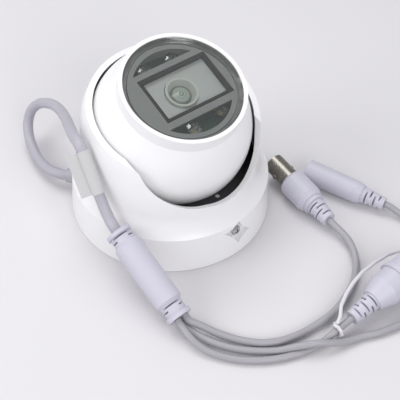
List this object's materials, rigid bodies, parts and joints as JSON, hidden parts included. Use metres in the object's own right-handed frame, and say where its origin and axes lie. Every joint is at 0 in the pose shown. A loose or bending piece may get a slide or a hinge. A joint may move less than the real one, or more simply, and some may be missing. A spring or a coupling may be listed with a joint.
{
  "type": "turret cctv camera",
  "caption": "Turret security camera: a ball-shaped lens unit clamped in a round base and cover, with a lead that splits into video, power and third tails.",
  "frame": {"origin": "centre of the base's underside", "axes": "+Z out of the mounting surface along the axis the cover turns about; the lens leans towards +X -Y"},
  "size_m": [0.1925, 0.138, 0.0807],
  "materials": {
    "shell": "satin white paint on a die-cast shell",
    "cap": "moulded white",
    "dark_plastic": "matt black",
    "grey_plastic": "satin grey",
    "panel": "satin grey",
    "mask": "satin grey-green",
    "glass": "tinted, polished",
    "optic": "coated lens",
    "rubber": "matt black rubber",
    "lead": "soft grey sheath",
    "moulding": "soft grey overmoulding",
    "steel": "bright zinc",
    "nickel": "nickel plate",
    "brass": "machined",
    "board": "lacquered circuit board",
    "chip": "moulded black",
    "led": "clear over yellow",
    "alu": "bare",
    "white_plastic": "satin",
    "paper": "blank paper tag"
  },
  "bodies": {
    "mount_base": {"base": "shell", "base_gasket": "rubber", "lock_insert": "brass", "cable_gland": "moulding", "main_lead": "lead", "inner_lead": "lead", "lead_clamp": "grey_plastic", "lead_header": "white_plastic", "cable_tag": "paper", "splitter": "moulding", "video_tail": "lead", "power_tail": "lead", "sound_tail": "lead", "video_moulding": "moulding", "video_shell": "nickel", "video_insulator": "white_plastic", "video_contact": "brass", "power_moulding": "moulding", "power_sleeve": "nickel", "power_pin": "nickel", "sound_moulding": "moulding", "sound_collar": "moulding", "sound_socket": "grey_plastic", "wire_tie": "white_plastic"},
    "turning_cover": {"cover": "shell", "clamp_ring": "dark_plastic", "clamp_screws": "steel"},
    "lead_boot": {"cable_boot": "rubber", "ball_lead": "lead"},
    "lock": {"lock_screw": "steel"},
    "eyeball": {"ball_shell": "shell", "rear_cap": "cap", "shell_seal": "rubber", "cap_screws": "steel", "window_glass": "glass", "window_seal": "rubber", "mask_plate": "mask", "lens_hood": "dark_plastic", "lens_panel": "panel", "lens_barrel": "grey_plastic", "front_element": "optic", "rear_elements": "optic", "lens_holder": "dark_plastic", "ir_filter": "optic", "image_sensor": "chip", "sensor_board": "board", "led_board": "board", "leds": "led", "led_lenses": "optic", "module_bracket": "alu", "bracket_screws": "steel", "board_posts": "brass", "main_board": "board", "main_chip": "chip", "board_parts": "chip", "heat_sink": "alu", "board_screws": "steel"}
  },
  "joints": [
    {"name": "cover_pan", "type": "hinge", "parent": "mount_base", "child": "turning_cover", "pos_m": [0, 0, 0], "axis": [0, 0, 1], "range_deg": [-180, 180]},
    {"name": "ball_tilt", "type": "hinge", "parent": "turning_cover", "child": "lead_boot", "pos_m": [0, 0, 0.0445], "axis": [0.766, 0.6428, 0], "range_deg": [-18, 50]},
    {"name": "ball_roll", "type": "hinge", "parent": "lead_boot", "child": "eyeball", "pos_m": [0, 0, 0.0445], "axis": [0.1986, -0.2367, 0.9511], "range_deg": [-180, 180]},
    {"name": "lock_turn", "type": "hinge", "parent": "mount_base", "child": "lock", "pos_m": [0.02779, -0.02877, 0.012], "axis": [0.6947, -0.7193, 0], "range_deg": [-360, 360]}
  ]
}
